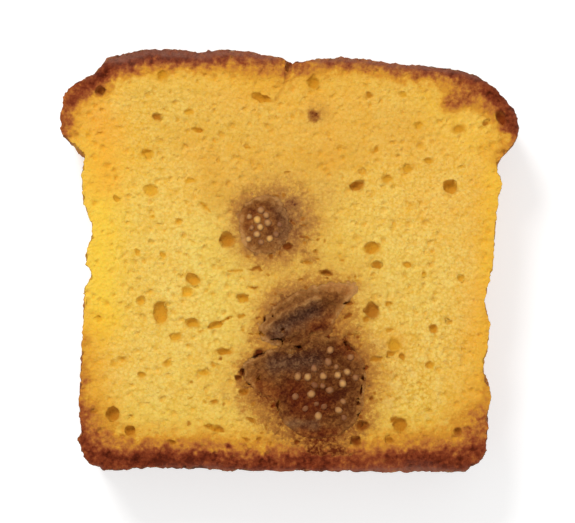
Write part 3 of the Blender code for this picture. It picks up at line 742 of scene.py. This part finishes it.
def zoneFields(piece, figSides):
    places = points(piece)
    top = places[:, 2] > thick - 2.5
    loose = places + np.stack([waves(places, 3.0, 5.0), waves(places, 3.0, 9.0), 0 * places[:, 0]], 1)
    for name in ("warm", "pale", "bright", "amber", "lime", "open", "tan", "plum"):
        setField(piece, name, strokes(loose, crumb[name]))
    strength, reach = haloRows(places)
    near = surfaceDistance(places, figSides) * (1 + 0.3 * waves(places, 1.8, 3.0))
    halo = strength * np.exp(-((np.maximum(near - 0.35, 0) / reach) ** 1.1))
    setField(piece, "stain", np.clip(np.maximum(strokes(loose, crumb["stain"]), halo), 0, 1))
    # the holes, pits and clefts get painted shade inside them
    inside, darkness = holeMarks(warp(places, -1))
    setField(piece, "pit", inside * top)
    setField(piece, "pitDark", darkness)
    # where the crack is painted darker: painted shade in its groove
    setField(piece, "crack", np.exp(-(crackAcross(places) ** 2)) * top)


def holeMarks(places):  # where the placed holes and clefts are, and how dark their painted shade is
    shapes = [(x, y, w * 1.05, h * 1.05, 0, dark) for x, y, w, h, depth, dark in crumb["holes"]]
    shapes += fleckShapes() + crumb["pores"]
    marks = [(oval(places, *shape, 0.4), dark) for *shape, dark in shapes]
    for reach, dark, *path in crumb["clefts"]:
        marks.append((1 - smooth(0.5, 1.5, cleftDistance(places, path, reach * 1.3)), dark))
    inside, darkness = np.zeros(len(places)), np.zeros(len(places))
    for mark, dark in marks:
        darkness = np.where(mark > inside, dark, darkness)
        inside = np.maximum(inside, mark)
    return inside, darkness


# paints shade into the holes, pits and clefts: orange to dark red-brown, darker the deeper they look
def paintPitShade(paint, base):
    return paint.mix(paint.field("pit") * 0.92, base, paint.ramp(paint.field("pitDark"), [
        (0.0, 228, 172, 50), (0.2, 206, 143, 34), (0.38, 184, 117, 28), (0.55, 158, 92, 24),
        (0.7, 139, 72, 18), (0.85, 128, 54, 14), (1.0, 98, 33, 9),
    ]))


def crumbPaint():
    paint = Shade("cake_crumb", 0.85, 0.2, 0.03)
    mix, ramp, span, field = paint.mix, paint.ramp, paint.span, paint.field
    hue = paint.noise(1.8, 3.0, 0.6) * 0.65 + paint.noise(5.5, 1.0) * 0.35
    hue = span(hue + (field("pale") - field("warm")) * 0.45, 0.0, 1.0)
    base = mix(hue, tint(231, 168, 20), tint(243, 209, 104))
    base = mix(paint.noise(0.45, 2.0, 0.6) * 0.32, base, tint(255, 236, 160))
    # darker orange between the grains, where the bump sinks: painted shade in the crevices, over the
    # crumb's grainy tone
    grain = span(paint.cells(0.7), 0.5, 0.95)
    airy = field("open")
    base = mix(grain * (airy * 0.34 + 0.36), base, tint(210, 150, 16))
    # dark specks that are also dips in the bump, painted darker as painted shade
    speckDipsAndShade = span(paint.noise(0.9, 2.0, 0.55), 0.72, 0.92)
    base = mix(speckDipsAndShade * (airy * 0.2 + 0.58), base, tint(206, 144, 14))
    clods = span(paint.noise(1.5, 4.0, 0.65), 0.5, 0.95)
    base = mix(clods * airy * 0.8, base, tint(204, 146, 30))
    cream = span(paint.noise(2.6, 3.0, 0.6), 0.52, 0.85)
    base = mix(cream * airy * 0.6, base, tint(248, 224, 140))
    for name, share, colour in crumb["tints"]:
        base = mix(field(name) * share, base, tint(*colour))
    crust, side = field("brown"), field("side")
    mottle = paint.noise(1.9, 3.0, 0.6, -0.22, 0.22) + paint.noise(0.8, 2.0, 0.55, -0.15, 0.15)
    patches = side * paint.noise(3.4, 4.0, 0.65, -0.2, 0.2)
    brown = span(crust + mottle * span(crust, 0.06, 0.5) + patches, 0.0, 1.0)
    base = mix(span(brown, 0.02, 0.25), base, ramp(brown, [
        (0.0, 235, 183, 62), (0.15, 226, 164, 54), (0.3, 210, 144, 48), (0.45, 190, 119, 50),
        (0.6, 164, 90, 42), (0.75, 138, 64, 33), (0.9, 114, 46, 22), (1.0, 90, 32, 15),
    ]))
    base = mix(side * 0.5, base, ramp(brown, [
        (0.1, 214, 160, 70), (0.35, 186, 128, 62), (0.6, 154, 98, 56), (0.8, 126, 74, 46),
        (1.0, 92, 50, 34),
    ]))
    skin = field("skin") * paint.noise(1.1, 3.0, 0.65, 0.3, 1.0)
    base = mix(skin, base, mix(side, tint(138, 91, 74), tint(138, 91, 70)))
    # on the crust, hollows painted darker as painted shade and raised parts lighter as painted light,
    # mixed with random pocks and pale patches
    relief = field("relief")
    pocksAndHollowShade = span(paint.noise(1.0, 4.0, 0.65) * 0.55 + relief * 0.6, 0.55, 0.92)
    palePatchesAndBumpLight = span(paint.noise(0.8, 4.0, 0.7) * 0.6 - relief * 0.5, 0.12, 0.5)
    base = mix(side * pocksAndHollowShade * 0.8, base, ramp(brown, [
        (0.2, 158, 96, 34), (0.6, 100, 54, 28), (1.0, 60, 30, 20),
    ]))
    base = mix(side * palePatchesAndBumpLight * 0.45, base, ramp(brown, [
        (0.2, 232, 184, 100), (0.6, 200, 146, 90), (1.0, 168, 116, 78),
    ]))
    stain = paint.noise(1.3, 3.0, 0.6, 0.76, 1.24) + paint.noise(0.7, 2.0, 0.6, -0.46, 0.42)
    stain = field("stain") * (stain + grain * 0.14 + speckDipsAndShade * 0.16)
    stain = span(stain, 0.0, 1.0)
    base = mix(span(stain - brown * 0.8, 0.0, 0.3), base, ramp(stain, [
        (0.0, 222, 168, 70), (0.2, 205, 149, 62), (0.35, 190, 132, 55), (0.5, 173, 115, 49),
        (0.62, 158, 100, 43), (0.75, 142, 83, 35), (0.88, 121, 61, 25), (1.0, 98, 39, 14),
    ]))
    dull = field("plum") * span(stain, 0.05, 0.35) * 0.8
    base = mix(dull, base, ramp(stain, [
        (0.0, 216, 164, 84), (0.35, 180, 130, 70), (0.62, 148, 100, 56), (0.88, 110, 62, 40),
        (1.0, 92, 46, 32),
    ]))
    # the crack painted darker brown along its line: painted shade in the groove
    base = mix(field("crack") * 0.5, base, tint(186, 122, 44))
    base = paintPitShade(paint, base)
    bubbles = span(paint.cells(1.3), 0.1, 0.5)
    height = paint.noise(0.4, 3.0, 0.6) * 0.6 - grain * 0.25 - speckDipsAndShade * 0.4
    height = height + paint.noise(1.4, 3.0, 0.55) * 1.3
    height = height + side * (paint.noise(1.6, 4.0, 0.65) * 2.0 + bubbles * 0.8 - pocksAndHollowShade * 1.2)
    paint.feed(paint.surface, {
        "Base Color": base, "Roughness": span(crust, 0.2, 1.0, 0.85, 0.65),
        "Normal": paint.bump(height, 0.6, 0.3),
    })
    return paint.material


def makeCrumb():
    solid = solidOf("cake_slice")
    wall, figSides = outerWall(solid), figTree()
    piece = newPiece("cake_crumb", solid)
    openHoles(piece, wall, figSides)
    apply(piece, "REMESH", mode="VOXEL", voxel_size=crumb["voxel"] * mm)
    print("crumb:", len(piece.data.vertices), "points to shape")
    roughen(piece, figSides)
    thin(piece)
    crustFields(piece, wall)
    zoneFields(piece, figSides)
    finishPiece(piece, crumbPaint(), "crumb", "cake_slice")


def figTree():  # the sides of all the figs
    solids = [solidOf(name) for name in figs]
    tree = faceTree([face for solid in solids for face in solid.faces])
    for solid in solids:
        solid.free()
    return tree


def finishPiece(piece, material, slotName, *nodes):
    for face in piece.data.polygons:
        face.use_smooth = True
    piece.data.materials.clear()
    piece.data.materials.append(material)
    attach(piece, "root")
    if nodes:
        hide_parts(*nodes)


# The figs

foldRidge = [(-4.7, -13.8), (-3.5, -12.3), (-2, -11), (0, -9.8), (2, -8.9), (4.2, -8), (6.2, -7.4)]
# The figs come out below scaled, turned and moved about their middle. The tone is how light the
# flesh is, from 0 to 1, with strokes of other tones, and pulp is how much lighter it is at seeds.
figs = {
    "fig_small": {
        "voxel": 0.2, "middle": (-5.1, 7.2), "underside": (0.8, -20, (1, -1.2)),
        "tone": 0.57, "pulp": 0.08,
        "tones": [
            (0.44, [
                (1, 0.8, (-4.2, 10.9), (-2.8, 9.4), (-2.3, 7.5), (-3.9, 6.4)), (0.9, 0.8, (-8, 10)),
                (0.8, 0.5, (-7, 3.2), (-5.6, 3)), (0.7, 0.4, (-8.8, 8.3), (-8.6, 6.6)),
            ]),
            (0.72, [(1.5, 0.6, (-6.6, 8.2), (-5.8, 7.2))]), (0.9, [(1, 0.8, (-9.2, 4.4))]),
            (0.2, [(0.6, 0.8, (-4.4, 6.6), (-3.7, 5.8)), (0.7, 0.85, (-7.8, 10.3), (-7.2, 9.6))]),
            (0.34, [(0.8, 0.7, (-2.6, 8.6), (-2.2, 5.6)), (0.7, 0.5, (-8.3, 8.4), (-8.6, 6.8))]),
        ],
        "red": [(2.6, 0.55, (-8.6, 7.4), (-6, 9))],
        "grey": [(1.8, 0.35, (-2, 10), (-0.5, 7), (-1.5, 5))],
    },
    "fig_large": {
        "voxel": 0.25, "middle": (4.4, -24.1), "underside": (0.86, 8, (-1.5, 1.4)),
        "tone": 0.36, "pulp": 0.06,
        "tones": [
            (0.68, [(2, 0.95, (-8.8, -21.6), (-7, -23.9))]),
            (0.52, [(2, 0.85, (-5.2, -21.6), (-2.6, -22.4))]),
            (0.54, [(1.5, 0.75, (-4.6, -24.6), (-3, -26.6))]),
            (0.12, [(1.3, 0.9, (-2.6, -18.4), (3, -19), (9.4, -18.6))]),
            (0.26, [(0.9, 0.7, (0, -20.9), (4.4, -20.8))]),
            (0.55, [(1.1, 0.85, (12.6, -18.8), (14.6, -22.5), (14.4, -24))]),
            (0.13, [
                (2.6, 0.85, (0.6, -26.6), (3.6, -29.6), (8, -27.8)), (0.8, 0.9, (5.8, -25.9)),
                (1.3, 0.8, (10.2, -26.4), (11.6, -25.2)), (0.7, 0.6, (7.6, -23.6)),
            ]),
            (0.36, [(1.3, 0.7, (11.2, -27.8), (12.4, -30.6), (10.2, -30.8))]),
            (0.03, [(1.2, 0.8, (6.2, -27.3), (9.6, -26.1)), (0.7, 0.8, (9, -25.1))]),
            (0.62, [(0.9, 0.9, (-1.6, -31.9), (2, -32.5), (4.6, -32.7))]),
            (0.46, [(0.8, 0.7, (4.6, -32.8), (9.6, -32.8))]), (0.26, [(0.7, 0.85, (1, -34), (8, -34.4))]),
            (0.6, [(0.8, 0.5, (13.9, -29), (14.6, -26))]),
        ],
        "red": [
            (2.8, 0.7, (1, -26), (2, -29.5), (6, -28.6)), (1.2, 0.7, (2, -34.4), (9, -34.4)),
            (2, 0.7, (-6.4, -24.8), (-3, -26.6)), (1.2, 0.6, (10, -17), (13.4, -19)),
        ],
        "grey": [(1.9, 0.75, (-3, -20.6), (5, -20)), (1, 0.5, (0, -32.5), (5, -32.8))],
    },
    "fig_fold": {
        "voxel": 0.2, "middle": (4.4, -24.1), "underside": (0.86, 8, (-1.5, 1.4)),
        "tone": 0.4, "pulp": 0,
        "tones": [
            (0.66, [
                (1.3, 0.9, (-5, -13.4), (-3.4, -10.9), (-0.8, -8.6), (3, -6.8), (7, -6.2), (10.4, -6.4)),
            ]),
            (0.86, [(1.2, 0.9, (9.2, -5.5), (13, -5.8))]),
            (0.64, [(1.1, 0.8, (9.4, -8.6), (9.4, -10.4))]),
            (0.18, [(0.8, 0.9, (0.4, -11.9), (2.2, -11.2), (4.4, -10.1), (6.4, -9.6))]),
            (0.3, [(0.7, 0.6, (-2.6, -13), (-0.6, -12.2))]),
            (0.34, [(0.42, 0.85, (3.6, -8.9), (6.8, -8.4), (8.9, -8))]),
            (0.55, [(0.8, 0.7, (5.5, -7.4), (9.4, -7.1))]),
            (0.5, [(0.55, 0.6, (0.5, -14.1), (3.7, -13.3), (6.3, -12.4))]),
            (0.1, [
                (0.4, 0.75, (5, -13.8), (6.2, -13), (7.4, -13.3)),
                (0.45, 0.9, (8.5, -12.9), (8.5, -13.6)),
            ]),
            (0.04, [
                (0.32, 0.95, (-3.6, -15.7), (-2.2, -15.9), (-1.4, -16.7)),
                (0.42, 0.95, (1.2, -16.8), (2, -17.6)),
            ]),
            # the fold's ridge painted lighter: painted highlight along it
            (0.9, [
                (0.42, 0.75, *foldRidge),
            ]),
        ],
        "red": [(1.4, 0.5, (5, -13.6), (8, -12)), (1.2, 0.6, (8, -5.2), (12, -5.6))],
        "grey": [(1.7, 0.8, (-2.6, -14.4), (0.6, -12), (5, -9.8))],
    },
}
fleshTop = {
    "hidden": 1.9,  # the flesh reaches this far into the crumb round it
    "level": 0.3,  # the cut flesh lies this far below the cut
    # deeper parts
    "basins": [
        (1.3, 0.7, (-1.2, -13.2), (3, -11), (8, -9.2)), (1.2, 0.4, (-3, -16), (1, -15.6)),
        (5, 0.2, (2, -23), (10, -22)), (3, 0.12, (-5.4, 7.2)), (0.4, 0.5, (1.3, -17), (1.9, -17.5)),
        (0.8, 0.2, (1, -35.2), (9, -35.2)), (0.6, 0.4, (5.4, -25.8), (7, -26.2)),
    ],
    "rim": 0.15,  # and this far at the crumb, over whose edge it lies
    "ridges": [
        (0.5, 0.24, *foldRidge),
        (0.7, 0.15, (-0.5, -32.9), (6, -33.2)), (0.6, 0.12, (-8, -20), (-1, -18.9)),
        (0.6, 0.15, (0.4, -14.2), (3.7, -13.3), (6.3, -12.4)),
    ],
    "lumps": [(2.0, 0.1), (1.1, 0.1), (0.55, 0.06)],  # soft relief: over what length, how high
}


def untwisted(places, settings):  # where each point would lie on the upper face
    scale, turn, shift = settings["underside"]
    low = (1 - places[:, 2] / thick)[:, None]
    angle = np.radians(turn) * low[:, 0]
    middle = np.array(settings["middle"])
    flat = (places[:, :2] - middle - np.array(shift) * low) / (1 + (scale - 1) * low)
    c, s = np.cos(angle), np.sin(angle)
    back = np.stack([c * flat[:, 0] + s * flat[:, 1], c * flat[:, 1] - s * flat[:, 0]], 1)
    return np.column_stack([back + middle, places[:, 2]])


def figPaint(name):
    paint = Shade(name + "_flesh", 0.5, 0.2, 0.05)
    # crevices in the flesh: dips in the bump, painted darker as painted shade
    crevicesAndShade = paint.span(paint.cells(1.2), 0.45, 0.8)
    rough = paint.noise(1.3, 4.0, 0.7, -0.2, 0.28) + paint.noise(0.5, 3.0, 0.75, -0.26, 0.31)
    tone = paint.field("tone")
    tone = paint.span(tone + rough * (1.3 - tone * 1.1) - crevicesAndShade * 0.16, 0.0, 1.0)
    base = paint.ramp(tone, [
        (0.0, 74, 27, 5), (0.22, 97, 49, 16), (0.44, 123, 72, 31), (0.67, 150, 96, 44),
        (1.0, 190, 137, 78),
    ])
    base = paint.mix(paint.field("red"), base, paint.ramp(tone, [
        (0.0, 82, 20, 2), (0.3, 114, 46, 14), (0.6, 148, 80, 28), (1.0, 196, 132, 66),
    ]))
    base = paint.mix(paint.field("grey"), base, paint.ramp(tone, [
        (0.0, 62, 33, 18), (0.3, 96, 62, 42), (0.6, 134, 98, 68), (1.0, 182, 144, 102),
    ]))
    paint.feed(paint.surface, {
        "Base Color": paintPitShade(paint, base), "Roughness": paint.noise(1.2, 2.0, 0.5, 0.4, 0.65),
        "Normal": paint.bump(paint.noise(0.5, 3.0, 0.6) * 0.8 - crevicesAndShade * 0.5, 0.8, 0.4),
    })
    return paint.material


def widen(work, step):  # moves the sides of a fig out to the crumb around it
    for vertex in work.verts:
        out = Vector((0, 0, 0))
        for face in vertex.link_faces:
            if abs(face.normal.z) < 0.5:
                out += Vector((face.normal.x, face.normal.y, 0))
        if out.length > 0.1:
            vertex.co += out.normalized() * step * mm


def depthInCrumb(places, walls):  # how far inside the crumb's walls, negative in the open
    found = []
    for p in places.tolist():
        spot, normal, index, far = walls.find_nearest(p)
        inside = far < 2.2 and (spot - Vector(p)).dot(normal) > 0
        found.append(far if inside else -far)
    return np.array(found)


def makeFig(name, settings, walls):
    solid = solidOf(name)
    widen(solid, fleshTop["hidden"])
    piece = newPiece(name + "_flesh", solid)
    apply(piece, "REMESH", mode="VOXEL", voxel_size=settings["voxel"] * mm)
    places, out = points(piece), normals(piece)
    face, past = untwisted(places, settings), depthInCrumb(places, walls)
    sink = fleshTop["level"] + strokes(face, fleshTop["basins"]) - strokes(face, fleshTop["ridges"])
    for size, lump in fleshTop["lumps"]:
        sink += lump * waves(places, size, size)
    sink += 0.1 * grains(places, 1.1) ** 2
    sink += smooth(-1.2, -0.3, past) * (fleshTop["rim"] + 0.05 * waves(places, 0.8) - sink)
    sink += 0.24 * np.clip(past + 0.1 + 0.25 * waves(places, 1.1, 4.0), 0, 3)
    # the flesh sinks at the hole marks, which also get painted shade
    inside, darkness = holeMarks(warp(face, -1))
    sink += inside * (0.3 + darkness)
    high = places[:, 2] > thick / 2
    gap = np.where(high, thick - places[:, 2], places[:, 2])
    cut = smooth(0.25, 0.6, np.abs(out[:, 2])) * (gap < 2.4)
    places[:, 2] += cut * (np.where(high, thick - sink, sink) - places[:, 2])
    places -= out * (0.08 * waves(places, 1.1, 8.0) * (1 - cut))[:, None]
    places = warp(places)
    setPoints(piece, keepInside(places))
    loose = face + np.stack([0.35 * waves(places, s, s) for s in (1.3, 1.7)] + [0 * past], 1)
    tone = np.full(len(places), settings["tone"])
    for level, paths in settings["tones"]:
        tone += np.clip(strokes(loose, paths), 0, 1) * (level - tone)
    pulp = np.zeros(len(places))
    for x, y, z, radius, top in seedSpots(name):
        near = np.hypot(places[:, 0] - x, places[:, 1] - y)
        pulp = np.maximum(pulp, (1 - smooth(radius + 0.1, radius + 0.9, near)) * (high == (top > 0)))
    tone += settings["pulp"] * pulp
    beside = 1.6 - 1.37 * haloRows(face)[0]  # the tone that fits the stained crumb beside it
    setField(piece, "tone", tone + 0.9 * smooth(-1.4, 0.0, past) * (beside - tone))
    for colour in ("red", "grey"):
        setField(piece, colour, strokes(loose, settings[colour]))
    setField(piece, "pit", inside * high)
    setField(piece, "pitDark", darkness)
    finishPiece(piece, figPaint(name), name, name)
    print(name + ":", triangles(piece), "triangles")


def figWalls():  # the crumb's walls round the figs, and its other steep sides
    work = solidOf("cake_slice")
    bmesh.ops.scale(work, vec=(1 / mm,) * 3, verts=work.verts)
    corners = [v.co.copy() for v in work.verts]
    work.verts.index_update()
    faces = [[v.index for v in face.verts] for face in work.faces if abs(face.normal.z) < 0.6]
    work.free()
    return BVHTree.FromPolygons(corners, faces)


# The seeds

seeds = {
    "size": (1.36, 1.2, 0.7), "sunk": 0.7,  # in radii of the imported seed
    "shape": (0.6, 0.11),  # uneven over this length, by this much
    "tone": (0.3, 0.7),  # the usual golden, between these
    # seeds of another tone: x, y, tone
    "tones": [
        (-6.5, 8.1, 1), (-5.8, 10.1, 0.55), (-8.1, 8.8, 0.66), (-4.7, 9.1, 0.58), (-4.4, 7.6, 0.62),
        (-7.6, 6.6, 0.48), (-8.3, 4.3, 0.84), (-4, 4.4, 0.9), (-5.7, 3.7, 0.42), (-2.7, 5.2, 0.28),
        (-2, 7.2, 0.24), (-5.9, 6.7, 0.85), (-6.6, 5.3, 0.72), (10.6, -24.6, 0.8), (9.6, -22.9, 0.76),
        (4.3, -26.7, 0.6), (5.7, -31.1, 0.66), (1.6, -23.2, 0.52), (3.6, -23.3, 0.72), (4.9, -21.6, 0.34),
        (6.7, -23.1, 0.66), (11.5, -22.3, 0.66), (13.2, -23.4, 0.36), (12.2, -19.3, 0.36),
        (7.7, -20.3, 0.32), (8, -25.9, 0.32), (1.1, -27.2, 0.28), (5.3, -28.7, 0.1), (10.7, -28.2, 0.42),
        (9.8, -29.9, 0.6), (10.9, -31.4, 0.14), (3.1, -29.6, 0.1), (6.9, -29.2, -0.6), (8.1, -17.9, 0.55),
        (5, -24.9, 0.06), (6.6, -25.1, 0.3),
    ],
}


def seedSpots(name):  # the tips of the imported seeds: x, y, z, radius, 1 above or -1 below
    solid = solidOf(name)
    spots = []
    ringDrop = 0.2929  # from a seed's tip down to the first ring of its corners, in radii
    for vertex in solid.verts:
        x, y, z = vertex.co / mm
        if min(abs(z - thick + 0.1), abs(z - 0.1)) > 0.01:  # the tips lie 0.1 below the cut
            continue
        ring = [e.other_vert(vertex).co.z / mm for e in vertex.link_edges]
        spots.append((x, y, z, max(abs(z - r) for r in ring) / ringDrop, 1 if z > thick / 2 else -1))
    solid.free()
    return spots


def seedPaint():
    paint = Shade("fig_seed", 0.5, 0.3, 0.12)
    base = paint.ramp(paint.field("tone"), [
        (0.0, 122, 72, 38), (0.25, 146, 96, 60), (0.5, 180, 128, 74), (0.8, 212, 162, 94),
        (1.0, 240, 184, 92),
    ])
    base = paint.mix(paint.noise(0.5, 2.0, 0.5, 0.0, 0.4), base, tint(150, 96, 56))
    base = paint.mix(paint.field("foot") * 0.9, base, tint(122, 74, 42))
    paint.feed(paint.surface, {
        "Base Color": base, "Roughness": paint.noise(0.6, 1.0, 0.5, 0.35, 0.55),
    })
    return paint.material


def makeSeeds(name, material):
    draw = random.Random(4)
    tones, feet = [], []
    work = bmesh.new()
    spots = seedSpots(name)
    for x, y, z, radius, top in spots:
        near = [t for a, b, t in seeds["tones"] if math.hypot(a - x, b - y) < 0.5 and top > 0]
        tone = near[0] if near else draw.uniform(*seeds["tone"])
        place = Matrix.Translation(Vector((x, y, z - top * radius * seeds["sunk"])) * mm)
        turn = Matrix.Rotation(draw.uniform(0, 3.1), 4, "Z")
        size = Matrix.Diagonal((*(radius * share * mm for share in seeds["size"]), 1))
        made = bmesh.ops.create_icosphere(work, subdivisions=3, radius=1.0, matrix=place @ turn @ size)
        for vertex in made["verts"]:
            away = vertex.co / mm - Vector((x, y, z))
            away.z = 0
            feet.append(min(max((away.length / radius - 0.45) / 0.75, 0), 1))  # 1 at its outline
            tones.append(tone)
    piece = newPiece(name + "_seeds", work)
    places = points(piece)
    length, height = seeds["shape"]
    rise = normals(piece) * (height * waves(places, length))[:, None]
    setPoints(piece, keepInside(places + rise))
    setField(piece, "tone", tones)
    setField(piece, "foot", feet)
    finishPiece(piece, material, name)
    print(name + ":", len(spots), "seeds")


makeStudio()
makeCrumb()
walls = figWalls()
for name, settings in figs.items():
    makeFig(name, settings, walls)
seedMaterial = seedPaint()
for name in ("fig_small", "fig_large"):
    makeSeeds(name, seedMaterial)
